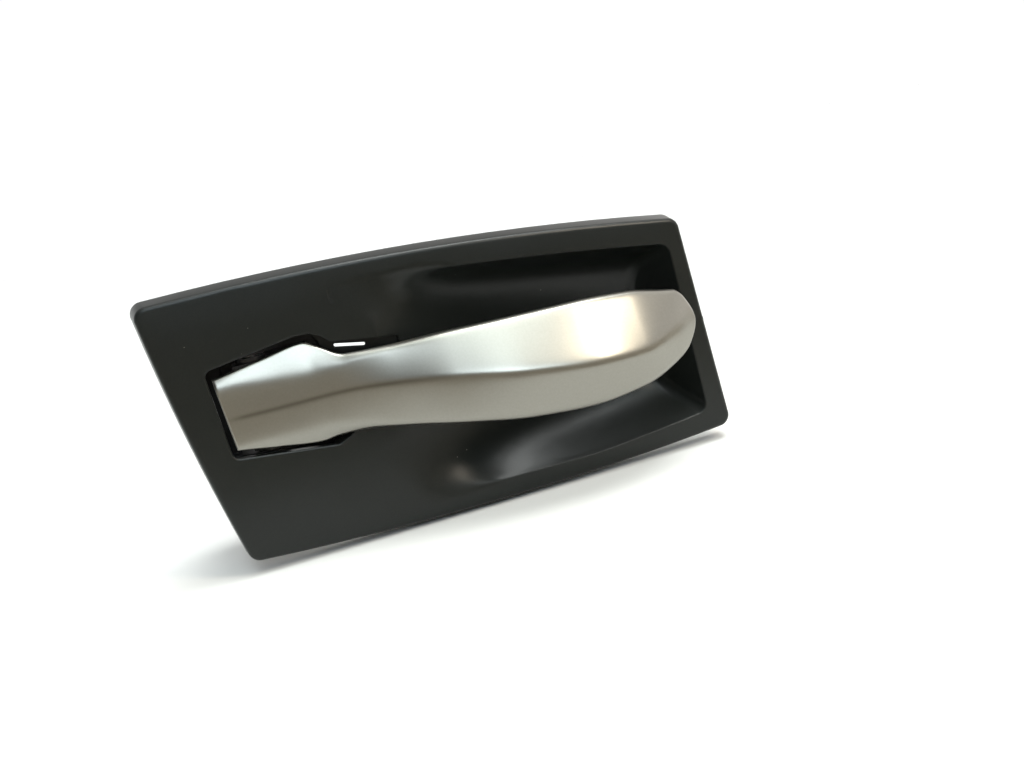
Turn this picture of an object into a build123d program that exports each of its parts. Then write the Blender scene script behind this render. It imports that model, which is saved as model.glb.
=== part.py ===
from build123d import *
import os
from math import cos, pi, radians, tan

os.makedirs("parts", exist_ok=True)

# Inside door handle of a car. Millimetres, +Z up, the face looks along -Y.
# x is measured from the hinge axis, z from the lever's centre line, y from the seat on the door panel.

# Bezel outline on the seat plane
reach_left_top = 27.0
reach_left_bottom = 14.0
reach_right_top = 128.2
reach_right_bottom = 135.2
height_left = 33.4
height_right = 24.4
drop_left = 42.6
drop_right = 42.4
bow_top = 3.7
bow_bottom = 3.1
bow_left = 1.2
corner_r = 3.4

# Bezel moulding
rim_depth = 8.0
rim_draft = 9.0
wall = 2.2
face_thick = 2.5
front_edge_r = 1.3

# Finger bowl, along x: station, upper edge, lower edge, depth below the face
bowl_rows = [
    (24.0, 26.4, -35.0, -0.3),
    (30.0, 26.3, -36.3, 0.0),
    (38.0, 26.0, -37.4, 1.7),
    (50.0, 25.4, -38.2, 7.2),
    (68.0, 23.8, -38.7, 13.5),
    (88.0, 21.6, -38.8, 17.5),
    (110.0, 18.7, -37.2, 19.0),
    (134.0, 15.2, -34.7, 19.0),
]
bowl_pitch = 11.0
bowl_lead = 3.0
bowl_lip = 1.2
bowl_end_top = (123.0, 17.0)
bowl_end_bottom = (126.8, -35.4)
bowl_end_lean = 24.0
bowl_end_r = 4.0

# Opening for the lever's root, the slit above the neck and the trough under the neck
root_gap = 2.1
end_gap = 1.4
opening_peak = [(12.6, 16.1), (16.5, 15.9), (19.3, 14.6)]
opening_right = 18.5
opening_foot = [(17.2, -15.6), (opening_right, -15.1)]
opening_corner_r = 2.0
opening_lip_r = 0.4
lip_thick = 0.8
lip_relief = 1.8
neck_top = [(21.4, 12.5), (36.2, 10.1)]
slit_corners = [(21.8, 12.3), (30.5, 10.6), (30.2, 9.8), (22.0, 11.4)]
slit_corner_r = 0.35
slit_slant = (0.08, 1.0, -0.15)
trough_depth = 5.5
trough_rise = 2.1
trough_heel = [(20.6, -14.2), (23.5, -12.4)]
trough_end = (40.0, 9.5)

# Root of the lever
root_left_top = 10.9
root_left_bottom = 9.2
root_half_left = 10.2

# Lever, along x: station, then (stand-off from the face, z) of the crest, the upper ridge, the top edge,
# the lower ridge and the bottom edge, then the thickness of the edges and the swell of the back
lever_rows = [
    (-22.0, 0.4, -1.6, 0.2, 7.4, -1.1, 8.4, 0.2, -8.0, 0.0, -9.2, 1.4, 0.0),
    (-10.9, 0.5, -1.5, 0.3, 8.0, -1.1, 9.8, 0.3, -9.0, 0.0, -10.3, 1.4, 0.0),
    (2.0, 1.3, -1.4, 1.0, 6.6, -1.2, 12.0, 0.9, -10.3, 0.0, -12.2, 1.3, 0.0),
    (14.0, 2.4, -1.1, 2.0, 5.7, -1.2, 13.9, 1.6, -10.6, 0.0, -13.8, 1.3, 0.0),
    (18.0, 3.0, -1.0, 2.5, 6.2, -0.2, 11.9, 2.3, -11.0, 0.7, -13.2, 1.5, 0.3),
    (24.0, 4.6, -0.9, 3.3, 6.9, 2.0, 8.7, 3.6, -11.8, 2.2, -13.0, 1.4, 1.0),
    (36.0, 8.4, -1.5, 5.1, 7.6, 4.0, 8.4, 6.8, -13.5, 5.7, -14.3, 1.6, 2.4),
    (52.0, 14.0, -2.9, 7.8, 7.2, 6.7, 7.9, 12.0, -16.0, 10.9, -16.8, 1.7, 3.4),
    (70.0, 18.5, -5.6, 10.0, 8.0, 9.0, 8.7, 15.0, -18.7, 13.9, -19.5, 1.6, 4.0),
    (88.0, 20.0, -7.8, 10.8, 8.5, 9.8, 9.2, 15.5, -19.9, 14.4, -20.7, 1.6, 4.0),
    (104.0, 18.0, -8.6, 9.9, 6.9, 8.9, 7.6, 14.0, -18.6, 12.9, -19.4, 1.6, 3.6),
    (116.0, 13.5, -7.0, 8.2, 4.4, 7.2, 5.1, 11.2, -15.4, 10.2, -16.1, 1.6, 2.6),
    (127.0, 7.0, -5.6, 5.0, 1.8, 4.0, 2.5, 6.2, -12.3, 5.2, -13.0, 1.6, 1.6),
]
lever_pitch = 6.0
tip_outline = [(114.0, 9.0), (122.2, 1.6), (124.5, -5.0), (120.8, -12.0), (108.0, -18.8), (90.0, -24.0)]
tip_clear = 40.0

# Hinge: pin, ears of the carrier, hubs of the lever and their bushes
pin_r = 2.0
pin_hole_clear = 0.01
ear_r = 4.0
ear_thick = 4.0
ear_gap = 0.5
hub_r = 5.0
hub_half = 11.8
spring_room = 5.5
web_cover = 0.7
bush_wall = 1.2
bush_clear = 0.05
bush_seat_clear = 0.02
flange_thick = 1.2
flange_r = 4.1
hub_play = 0.4
pin_head_r = 3.2
pin_head_h = 1.5
groove_depth = 0.5
clip_thick = 0.7
clip_r = 3.9
clip_clear = 0.05
pin_tail = 1.4

# Crank of the lever, with the hole for the cable's end
crank_reach = 19.0
crank_end_r = 5.0
cable_eye_r = 2.1
cable_slot = 1.8
slot_past = 0.6

# Travel and its stops
open_angle = 38.0
stop_reach = 14.0
stop_clear = 0.3
buffer_head_r = 3.0
buffer_head_h = 2.4
buffer_stem_r = 1.5
post_thick = 3.8
post_width = 7.0
post_above_axis = 4.0

# Carrier
plate_thick = 3.0
plate_left_top = 19.5
plate_left_bottom = 13.5
plate_right = 22.5
plate_half = 24.5
plate_corner_r = 4.0
window_left = 14.0
window_right = 15.5
ear_foot = 8.5
shelf_depth = 25.0
horn_left = 19.0
horn_thick = 5.0
horn_width = 11.0
sleeve_r = 2.6
sleeve_slot = 2.4
rib_thick = 1.8
rib_spread = 4.5
notch_height = 3.2
notch_clear = 0.6

# Screws of the carrier and bosses of the bezel
screw_left_top = 15.5
screw_left_bottom = 10.5
screw_right = 13.5
screw_half = 20.5
screw_r = 1.2
screw_bite = 4.6
screw_head_r = 2.8
screw_head_h = 2.0
screw_hole_clear = 0.4
pilot_clear = 0.05
pilot_depth = 5.0
boss_wall = 2.0
rim_rib_height = 3.4
rim_rib_up = 10.9
rim_rib_down = 20.6

# Fixings to the door panel
panel_hole_r = 1.5
panel_half = 28.5
panel_right = (127.2, -8.0)

# Return spring
wire_r = 0.5
coil_r = 3.7
coil_turns = 6.5
coil_pitch = 1.3
leg_length = 9.0
leg_clear = 0.3
abutment_thick = 3.0
abutment_seat = 3.0
shield_bottom = 5.0
shield_clear = 0.6
shield_thick = 1.6

face_y = -rim_depth
face_back = face_y + face_thick
hinge_y = face_back + ear_gap + ear_r
ear_start = hub_half + flange_thick + hub_play
ear_end = ear_start + ear_thick
crank_y = hinge_y + crank_reach
crank_z = -(hub_half + spring_room) / 2
hub_bore_r = pin_r + bush_clear + bush_wall + bush_seat_clear
hinge_axis = Plane((0, hinge_y, 0))
open_axis = hinge_axis.rotated((0, 0, -open_angle))
crank_half = hub_r - (hub_r - crank_end_r) * stop_reach / crank_reach
post_face = crank_half + stop_clear + buffer_head_h
coil_height = coil_turns * coil_pitch
leg_drop = leg_length * coil_pitch / (2 * pi * coil_r)
leg_back = hinge_y + coil_r + wire_r + leg_clear
shield_y = hinge_y + hub_r + shield_clear
pilot_r = screw_r + pilot_clear
screw_places = [
    (-screw_left_top, screw_half),
    (-screw_left_bottom, -screw_half),
    (screw_right, screw_half),
    (screw_right, -screw_half),
]
panel_places = [(0, panel_half), (0, -panel_half), panel_right]


def eased(rows, x):
    """Values at x on smooth curves through the rows, which never overshoot them."""
    last = len(rows) - 2
    k = min(sum(1 for row in rows[1:] if row[0] <= x), last)
    gaps = [after[0] - before[0] for before, after in zip(rows, rows[1:])]
    t = (x - rows[k][0]) / gaps[k]
    values = []
    for column in range(1, len(rows[0])):
        rates = [(after[column] - before[column]) / gap for before, after, gap in zip(rows, rows[1:], gaps)]

        def slope(i):
            if i == 0 or i > last:
                return rates[min(i, last)]
            before, after = rates[i - 1], rates[i]
            return 2 * before * after / (before + after) if before * after > 0 else 0.0

        start, end = rows[k][column], rows[k + 1][column]
        values.append(
            start * (1 + 2 * t) * (1 - t) ** 2
            + end * t**2 * (3 - 2 * t)
            + gaps[k] * (slope(k) * t * (1 - t) ** 2 - slope(k + 1) * t**2 * (1 - t))
        )
    return values


def stations(rows, pitch):
    """Evenly spaced x places from the first row to the last, about a pitch apart."""
    length = rows[-1][0] - rows[0][0]
    count = round(length / pitch)
    return [rows[0][0] + length * i / count for i in range(count + 1)]


def bowl_form(grow):
    """Solid that fills the finger bowl, grown on every side by the given wall."""
    end_run = bowl_end_bottom[0] - bowl_end_top[0]
    end_drop = bowl_end_top[1] - bowl_end_bottom[1]
    end_plane = Plane(
        (bowl_end_top[0] + grow / cos(radians(bowl_end_lean)), face_y, bowl_end_top[1]),
        x_dir=(end_run, 0, -end_drop),
        z_dir=(end_drop, tan(radians(bowl_end_lean)) * end_drop, end_run),
    )
    front = face_y - bowl_lead
    with BuildPart() as form:
        for x in stations(bowl_rows, bowl_pitch):
            upper, lower, depth = eased(bowl_rows, x)
            top = upper + grow
            bottom = lower - grow
            sink = depth + grow
            with BuildSketch(Plane.YZ.offset(x)):
                with BuildLine():
                    floor = Spline(
                        (front, top + bowl_lip),
                        (face_y, top),
                        (face_y + 0.62 * sink, top - 5.0),
                        (face_y + sink, (top + bottom) / 2 + 3.0),
                        (face_y + 0.72 * sink, bottom + 9.0),
                        (face_y + 0.18 * sink, bottom + 1.8),
                        (face_y, bottom),
                        (front, bottom - bowl_lip),
                    )
                    Line(floor @ 1, floor @ 0)
                make_face()
        loft()
        split(bisect_by=end_plane, keep=Keep.BOTTOM)
        end_wall = form.faces().filter_by(GeomType.PLANE).sort_by(Axis.X)[-1]
        fillet(end_wall.edges().sort_by(Axis.Y)[-1], bowl_end_r + grow)
    return form.part


def rim_outline(inset):
    """Outline of the bezel on the seat plane, its long edges bowed, drawn in by the given wall."""
    corner_tl = (-reach_left_top, height_left)
    corner_tr = (reach_right_top, height_right)
    corner_br = (reach_right_bottom, -drop_right)
    corner_bl = (-reach_left_bottom, -drop_left)
    with BuildSketch() as outline:
        with BuildLine():
            SagittaArc(corner_tl, corner_tr, bow_top)
            Line(corner_tr, corner_br)
            SagittaArc(corner_br, corner_bl, bow_bottom)
            SagittaArc(corner_bl, corner_tl, bow_left)
        make_face()
        if inset:
            offset(amount=-inset, kind=Kind.INTERSECTION)
        fillet(outline.vertices(), corner_r)
    return outline.sketch


def rim_form(inset, depth):
    """Block inside the rim, from the seat plane forward, with the rim's draft."""
    with BuildPart() as form:
        with BuildSketch(Plane.XZ):
            add(rim_outline(inset))
        with BuildSketch(Plane.XZ.offset(depth)):
            add(rim_outline(inset + depth * tan(radians(rim_draft))))
        loft()
    return form.part


def trough_form(front, grow):
    """Solid from the given depth back to the trough's floor, grown below and behind by the given wall."""
    heel = [(x, z - grow) for x, z in (opening_foot[1], *trough_heel)]
    floor_plane = Plane(
        (opening_right, face_y + trough_depth + grow, 0),
        z_dir=(trough_rise, trough_end[0] - opening_right, 0),
    )
    with BuildPart() as form:
        with BuildSketch(Plane.XZ.offset(-front)):
            with BuildLine():
                Polyline(
                    (opening_right - wall, heel[0][1]),
                    *heel,
                    (trough_end[0], heel[-1][1]),
                    trough_end,
                    neck_top[1],
                    neck_top[0],
                    opening_peak[2],
                    opening_peak[1],
                    close=True,
                )
            make_face()
        extrude(amount=-2 * rim_depth)
        split(bisect_by=floor_plane, keep=Keep.BOTTOM)
    return form.part


bowl_space = bowl_form(0.0)
bowl_skin = bowl_form(wall)

# Bezel: one moulding with a drafted rim, the finger bowl and the opening for the lever
with BuildPart() as bezel:
    add(rim_form(0.0, rim_depth))
    fillet(bezel.faces().sort_by(Axis.Y)[0].edges(), front_edge_r)
    add(rim_form(wall, rim_depth - face_thick), mode=Mode.SUBTRACT)

    # Bosses for the carrier's screws and for the door panel's screws
    with BuildSketch(Plane.XZ):
        with Locations(screw_places):
            Circle(pilot_r + boss_wall)
        with Locations(panel_places):
            Circle(panel_hole_r + boss_wall)
    extrude(amount=rim_depth - face_thick / 2)

    # Ribs on the back of the face that tie the screws' bosses to each other and to the rim
    with BuildSketch(Plane.XZ.offset(rim_depth - face_thick / 2)):
        for side, left, reach in (
            (1, -screw_left_top, rim_rib_up),
            (-1, -screw_left_bottom, rim_rib_down),
        ):
            with Locations(((left + screw_right) / 2, side * screw_half)):
                Rectangle(screw_right - left, rib_thick)
            for x in (left, screw_right):
                with Locations((x, side * (screw_half + reach / 2))):
                    Rectangle(rib_thick, reach)
    extrude(amount=-face_thick / 2 - rim_rib_height)

    # Skin of the bowl and of the trough, from inside the face backwards
    skin_y = face_y + face_thick / 2
    add(split(bowl_skin, bisect_by=Plane.XZ.offset(-skin_y), keep=Keep.BOTTOM, mode=Mode.PRIVATE))
    add(trough_form(skin_y, wall))

    # Hollows: opening with its rounded lip, bowl, trough and slit
    front_y = face_y - bowl_lead
    with BuildSketch(Plane.XZ.offset(-front_y)) as opening:
        with BuildLine():
            Polyline(
                (-root_left_top - end_gap, root_half_left + root_gap),
                *opening_peak[:2],
                (opening_right, neck_top[0][1]),
                opening_foot[1],
                opening_foot[0],
                (-root_left_bottom - end_gap, -root_half_left - root_gap),
                close=True,
            )
        make_face()
        fillet(opening.vertices().sort_by(Axis.X)[:2], opening_corner_r)
    extrude(amount=-2 * rim_depth, mode=Mode.SUBTRACT)
    lip = bezel.edges().filter_by_position(Axis.Y, face_y, face_y)
    lip = lip.filter_by_position(Axis.X, -root_left_top - end_gap, opening_right)
    fillet(lip.filter_by_position(Axis.Z, opening_foot[0][1], opening_peak[0][1]), opening_lip_r)
    add(bowl_space, mode=Mode.SUBTRACT)
    add(trough_form(front_y, 0.0), mode=Mode.SUBTRACT)
    with BuildSketch(Plane.XZ.offset(rim_depth - lip_thick)):
        with Locations((-root_left_bottom, 0)):
            Rectangle(
                root_left_top - root_left_bottom + end_gap + lip_relief,
                2 * (root_half_left + root_gap),
                align=(Align.MAX, Align.CENTER),
            )
    extrude(amount=-rim_depth, mode=Mode.SUBTRACT)
    with BuildSketch(Plane.XZ.offset(-front_y)) as slit:
        with BuildLine():
            Polyline(*slit_corners, close=True)
        make_face()
        fillet(slit.vertices(), slit_corner_r)
    extrude(amount=2 * rim_depth, dir=slit_slant, mode=Mode.SUBTRACT)

    # Pilot holes
    with BuildSketch(Plane.XZ):
        with Locations(screw_places):
            Circle(pilot_r)
        with Locations(panel_places):
            Circle(panel_hole_r)
    extrude(amount=pilot_depth, mode=Mode.SUBTRACT)
bezel.part.label = "bezel"
export_step(bezel.part, "parts/bezel.step")

# Lever: one casting, lofted along its length, with the hubs and the crank behind its root
with BuildPart() as lever:
    for x in stations(lever_rows, lever_pitch):
        crest, crest_z, upper, upper_z, top, top_z, lower, lower_z, bottom, bottom_z, edge, swell = eased(lever_rows, x)
        rear_top = face_y - top + edge
        rear_bottom = face_y - bottom + edge
        with BuildSketch(Plane.YZ.offset(x)):
            with BuildLine():
                Polyline(
                    (rear_top, top_z),
                    (face_y - top, top_z),
                    (face_y - upper, upper_z),
                    (face_y - crest, crest_z),
                    (face_y - lower, lower_z),
                    (face_y - bottom, bottom_z),
                    (rear_bottom, bottom_z),
                )
                Spline(
                    (rear_bottom, bottom_z),
                    ((rear_top + rear_bottom) / 2 + swell, (top_z + bottom_z) / 2),
                    (rear_top, top_z),
                )
            make_face()
    loft()
    root_end = Plane(
        (-root_left_top, 0, root_half_left),
        z_dir=(2 * root_half_left, 0, root_left_top - root_left_bottom),
    )
    split(bisect_by=root_end, keep=Keep.TOP)
    with BuildSketch(Plane.XZ):
        with BuildLine():
            tip = Spline(*tip_outline)
            Polyline(
                tip @ 1,
                (-tip_clear, -tip_clear),
                (-tip_clear, tip_clear),
                ((tip @ 0).X, tip_clear),
                tip @ 0,
            )
        make_face()
    extrude(amount=tip_clear, both=True, mode=Mode.INTERSECT)

    # Hubs, joined to the root by a web, and the crank behind the lower one
    for hub_bottom in (-hub_half, spring_room):
        with BuildSketch(Plane.XY.offset(hub_bottom)):
            with Locations((0, hinge_y)):
                Circle(hub_r)
            with Locations((0, hinge_y)):
                Rectangle(2 * hub_r, hinge_y - face_y - web_cover, align=(Align.CENTER, Align.MAX))
        extrude(amount=hub_half - spring_room)
    with BuildSketch(Plane.XY.offset(-hub_half)):
        with Locations((0, hinge_y)):
            Circle(hub_r)
        with Locations((0, crank_y)):
            Circle(crank_end_r)
        make_hull()
    extrude(amount=hub_half - spring_room)

    # Bores for the bushes, the cable's eye and the slot for its wire
    with BuildSketch(Plane.XY.offset(-hub_half)):
        with Locations((0, hinge_y)):
            Circle(hub_bore_r)
        with Locations((0, crank_y)):
            Circle(cable_eye_r)
    extrude(amount=2 * hub_half, mode=Mode.SUBTRACT)
    with BuildSketch(Plane.XY.offset(crank_z - cable_slot / 2)):
        with Locations((cable_eye_r + slot_past, crank_y)):
            Rectangle(4 * crank_end_r, 4 * crank_end_r, align=(Align.MAX, Align.CENTER))
    extrude(amount=cable_slot, mode=Mode.SUBTRACT)
lever.part.label = "lever"
export_step(lever.part, "parts/lever.step")

# Carrier: bracket behind the bezel with the hinge ears, the stop posts and the cable's seat
with BuildPart() as carrier:
    with BuildSketch(Plane.XZ) as plate:
        with BuildLine():
            Polyline(
                (-plate_left_top, plate_half),
                (plate_right, plate_half),
                (plate_right, -plate_half),
                (-plate_left_bottom, -plate_half),
                close=True,
            )
        make_face()
        fillet(plate.vertices(), plate_corner_r)
        with Locations(((window_right - window_left) / 2, 0)):
            Rectangle(window_left + window_right, 2 * ear_start, mode=Mode.SUBTRACT)
        with Locations((0, ear_end + notch_height / 2), (0, -ear_end - notch_height / 2)):
            Rectangle(2 * (clip_r + notch_clear), notch_height, mode=Mode.SUBTRACT)
        with Locations(screw_places):
            Circle(screw_r + screw_hole_clear, mode=Mode.SUBTRACT)
    extrude(amount=-plate_thick)

    # Ears on both sides of the lever, the lower one running back as a shelf
    for ear_bottom in (-ear_end, ear_start):
        with BuildSketch(Plane.XY.offset(ear_bottom)):
            with Locations((0, hinge_y)):
                Circle(ear_r)
            with Locations((0, plate_thick / 2)):
                Rectangle(2 * ear_foot, plate_thick)
            make_hull()
        extrude(amount=ear_thick)
    with BuildSketch(Plane.XY.offset(-ear_end)) as shelf:
        with BuildLine():
            Polyline(
                (-horn_left, crank_y - horn_width / 2),
                (-plate_left_bottom, plate_thick / 2),
                (plate_right, plate_thick / 2),
                (plate_right + plate_thick, crank_y / 2),
                (crank_end_r, shelf_depth),
                (-horn_left, shelf_depth),
                close=True,
            )
        make_face()
        fillet(shelf.vertices().group_by(Axis.Y)[-1], plate_corner_r / 2)
    extrude(amount=ear_thick)

    # Stop posts, one for rest and one for the lever's full travel
    for axis, side in ((hinge_axis, -1), (open_axis, 1)):
        with BuildSketch(axis.offset(-ear_end)):
            with Locations((side * (post_face + post_thick / 2), stop_reach)):
                Rectangle(post_thick, post_width)
        extrude(amount=ear_end + crank_z + post_above_axis)
        stem = Plane(axis.from_local_coords((side * post_face, stop_reach, crank_z)), z_dir=axis.x_dir * side)
        with BuildSketch(stem):
            Circle(buffer_stem_r + bush_seat_clear)
        extrude(amount=post_thick, mode=Mode.SUBTRACT)

    # Horn with the seat for the cable's sleeve, open at the top
    with BuildSketch(Plane.YZ.offset(-horn_left)) as horn:
        with Locations((crank_y, crank_z)):
            Rectangle(horn_width, 2 * (crank_z + ear_end))
        with Locations((crank_y, crank_z)):
            Circle(sleeve_r, mode=Mode.SUBTRACT)
        with Locations((crank_y, crank_z + ear_end)):
            Rectangle(sleeve_slot, 2 * ear_end, mode=Mode.SUBTRACT)
    extrude(amount=horn_thick)

    # Ribs under the shelf, the spring's abutment beside the window and the light shield behind its top
    for x in (-rib_spread, rib_spread):
        with BuildSketch(Plane.YZ.offset(x - rib_thick / 2)):
            with BuildLine():
                Polyline(
                    (plate_thick / 2, -ear_start),
                    (shelf_depth - plate_corner_r, -ear_start),
                    (shelf_depth - plate_corner_r, -ear_end),
                    (plate_thick / 2, -plate_half),
                    close=True,
                )
            make_face()
        extrude(amount=rib_thick)
    with BuildSketch(Plane.XY.offset(-ear_start)):
        with BuildLine():
            Polyline(
                (-window_left - abutment_seat, plate_thick / 2),
                (-window_left, plate_thick / 2),
                (-window_left, leg_back),
                (-leg_length + wire_r, leg_back),
                (-leg_length + wire_r, leg_back + abutment_thick),
                (-window_left - abutment_seat, leg_back + abutment_thick),
                close=True,
            )
        make_face()
    extrude(amount=2 * ear_start)
    with BuildSketch(Plane.XY.offset(shield_bottom)):
        with BuildLine():
            Polyline(
                (-window_left, shield_y),
                (window_right, shield_y),
                (window_right, plate_thick / 2),
                (plate_right, plate_thick / 2),
                (plate_right, shield_y + shield_thick),
                (-window_left, shield_y + shield_thick),
                close=True,
            )
        make_face()
    extrude(amount=ear_start - shield_bottom)

    # Holes for the pin
    with BuildSketch(Plane.XY.offset(-ear_end)):
        with Locations((0, hinge_y)):
            Circle(pin_r + pin_hole_clear)
    extrude(amount=2 * ear_end, mode=Mode.SUBTRACT)
carrier.part.label = "carrier"
export_step(carrier.part, "parts/carrier.step")

# Hinge pin: steel, headed at the top, with a groove for its clip under the lower ear
groove_end = ear_end + clip_thick + 2 * clip_clear
with BuildPart() as hinge_pin:
    with BuildSketch(Plane.XZ.offset(-hinge_y)) as pin_half:
        with BuildLine():
            Polyline(
                (0, ear_end + pin_head_h),
                (pin_head_r, ear_end + pin_head_h),
                (pin_head_r, ear_end),
                (pin_r, ear_end),
                (pin_r, -ear_end),
                (pin_r - groove_depth, -ear_end),
                (pin_r - groove_depth, -groove_end),
                (pin_r, -groove_end),
                (pin_r, -groove_end - pin_tail),
                (0, -groove_end - pin_tail),
                close=True,
            )
        make_face()
        chamfer(pin_half.vertices().group_by(Axis.Y)[0].sort_by(Axis.X)[-1], groove_depth)
    revolve(axis=Axis((0, hinge_y, 0), (0, 0, 1)))
hinge_pin.part.label = "hinge_pin"
export_step(hinge_pin.part, "parts/hinge_pin.step")

# Retaining clip: open spring-steel ring in the pin's groove
with BuildPart() as pin_clip:
    with BuildSketch(Plane.XY.offset(-ear_end - clip_thick - clip_clear)):
        with Locations((0, hinge_y)):
            Circle(clip_r)
            Circle(pin_r - groove_depth + clip_clear, mode=Mode.SUBTRACT)
        with Locations((0, hinge_y - clip_r)):
            Rectangle(2 * (pin_r - groove_depth), 2 * clip_r, mode=Mode.SUBTRACT)
    extrude(amount=clip_thick)
pin_clip.part.label = "pin_clip"
export_step(pin_clip.part, "parts/pin_clip.step")


def bush(side):
    """Flanged bearing bush in one of the lever's hubs; side is 1 for the upper, -1 for the lower."""
    with BuildPart() as piece:
        with BuildSketch(Plane.XZ.offset(-hinge_y)):
            with BuildLine():
                Polyline(
                    (pin_r + bush_clear, side * spring_room),
                    (hub_bore_r - bush_seat_clear, side * spring_room),
                    (hub_bore_r - bush_seat_clear, side * hub_half),
                    (flange_r, side * hub_half),
                    (flange_r, side * (hub_half + flange_thick)),
                    (pin_r + bush_clear, side * (hub_half + flange_thick)),
                    close=True,
                )
            make_face()
        revolve(axis=Axis((0, hinge_y, 0), (0, 0, 1)))
    return piece.part


for name, side in (("upper_bush", 1), ("lower_bush", -1)):
    part = bush(side)
    part.label = name
    export_step(part, f"parts/{name}.step")


def buffer(axis, side):
    """Rubber buffer with its stem through a stop post."""
    seat = Plane(axis.from_local_coords((side * post_face, stop_reach, crank_z)), z_dir=axis.x_dir * side)
    with BuildPart() as piece:
        with BuildSketch(seat):
            Circle(buffer_stem_r)
        extrude(amount=post_thick)
        with BuildSketch(seat):
            Circle(buffer_head_r)
        extrude(amount=-buffer_head_h)
        fillet(piece.faces().sort_by(Axis(seat.origin, seat.z_dir))[0].edges(), buffer_head_h / 2)
    return piece.part


for name, axis, side in (("rest_buffer", hinge_axis, -1), ("open_buffer", open_axis, 1)):
    part = buffer(axis, side)
    part.label = name
    export_step(part, f"parts/{name}.step")

# Return spring: torsion coil round the pin, with both legs to the left
with BuildPart() as coil:
    with BuildLine() as wire:
        Line((coil_r, -leg_length, -leg_drop), (coil_r, 0, 0))
        Helix(coil_pitch, coil_height, coil_r)
        Line((-coil_r, 0, coil_height), (-coil_r, -leg_length, coil_height + leg_drop))
    with BuildSketch(Plane((coil_r, -leg_length, -leg_drop), z_dir=(0, leg_length, leg_drop))):
        RegularPolygon(wire_r, 8)
    sweep(path=wire.wire())
return_spring = Location((0, hinge_y, -coil_height / 2), (0, 0, -90)) * coil.part
return_spring.label = "return_spring"
export_step(return_spring, "parts/return_spring.step")

# Self-tapping screws that hold the carrier to the bezel
with BuildPart() as carrier_screws:
    with BuildSketch(Plane.XZ.offset(-plate_thick)):
        with Locations(screw_places):
            Circle(screw_r)
    extrude(amount=plate_thick + screw_bite)
    with BuildSketch(Plane.XZ.offset(-plate_thick)):
        with Locations(screw_places):
            Circle(screw_head_r)
    extrude(amount=-screw_head_h)
    chamfer(carrier_screws.faces().group_by(Axis.Y)[-1].edges(), screw_head_h / 3)
    with BuildSketch(Plane.XZ.offset(-plate_thick - screw_head_h)):
        with Locations(screw_places):
            RegularPolygon(screw_r, 6)
    extrude(amount=screw_head_h / 2, mode=Mode.SUBTRACT)
carrier_screws.part.label = "carrier_screws"
export_step(carrier_screws.part, "parts/carrier_screws.step")
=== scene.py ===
import math

import bmesh
import bpy
from mathutils import Matrix, Vector
from mathutils.bvhtree import BVHTree


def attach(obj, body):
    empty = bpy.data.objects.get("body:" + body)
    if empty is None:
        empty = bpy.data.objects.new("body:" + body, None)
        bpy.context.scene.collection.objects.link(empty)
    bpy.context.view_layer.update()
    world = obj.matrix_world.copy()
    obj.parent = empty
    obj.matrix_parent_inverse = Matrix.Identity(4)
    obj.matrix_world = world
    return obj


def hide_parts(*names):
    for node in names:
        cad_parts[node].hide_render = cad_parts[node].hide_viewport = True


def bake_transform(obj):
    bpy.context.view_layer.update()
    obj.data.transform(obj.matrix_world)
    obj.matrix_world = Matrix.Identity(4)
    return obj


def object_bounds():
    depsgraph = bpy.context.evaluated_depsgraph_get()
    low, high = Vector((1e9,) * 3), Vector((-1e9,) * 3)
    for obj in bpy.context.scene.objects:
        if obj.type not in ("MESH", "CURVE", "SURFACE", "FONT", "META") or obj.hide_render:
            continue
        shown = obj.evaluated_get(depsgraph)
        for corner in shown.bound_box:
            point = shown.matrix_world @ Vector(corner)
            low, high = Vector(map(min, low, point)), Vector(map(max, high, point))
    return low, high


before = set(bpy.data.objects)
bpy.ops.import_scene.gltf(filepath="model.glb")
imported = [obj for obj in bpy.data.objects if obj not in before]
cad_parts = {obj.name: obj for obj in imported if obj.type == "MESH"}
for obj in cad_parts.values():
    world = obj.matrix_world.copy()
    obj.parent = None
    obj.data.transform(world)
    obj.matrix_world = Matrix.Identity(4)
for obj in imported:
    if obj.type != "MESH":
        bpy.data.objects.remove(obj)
cad_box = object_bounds()

# Floor. A sheet of white paper, level with the bezel's lowest edge, large enough to run out of
# sight on every side.
mm = 0.001
floor_drop = 0.2 * mm
floor_level = cad_box[0][2] - floor_drop
floor_reach = 6.0
floor_mesh = bpy.data.meshes.new("floor")
floor_corners = [(-1, -1), (1, -1), (1, 1), (-1, 1)]
floor_mesh.from_pydata(
    [(floor_reach * x, floor_reach * y, floor_level) for x, y in floor_corners], [], [(0, 1, 2, 3)]
)
floor = bpy.data.objects.new("floor", floor_mesh)
bpy.context.collection.objects.link(floor)


def srgb(code):
    """Linear colour from an sRGB hex code."""
    channels = [int(code[i : i + 2], 16) / 255 for i in (0, 2, 4)]
    return [c / 12.92 if c <= 0.04045 else ((c + 0.055) / 1.055) ** 2.4 for c in channels] + [1.0]


def add_node(tree, kind, settings=None, **inputs):
    """Adds a node, then sets or links its inputs, by name or, as in1, by place."""
    made = tree.nodes.new(kind)
    for key, value in (settings or {}).items():
        setattr(made, key, value)
    for key, value in inputs.items():
        place = int(key[2:]) if key[:2] == "in" and key[2:].isdigit() else key.replace("_", " ")
        if isinstance(value, bpy.types.NodeSocket):
            tree.links.new(value, made.inputs[place])
        else:
            made.inputs[place].default_value = value
    return made


def new_material(name):
    """Empty material and its node tree."""
    material = bpy.data.materials.new(name)
    material.use_nodes = True
    material.node_tree.nodes.clear()
    return material, material.node_tree


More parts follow.
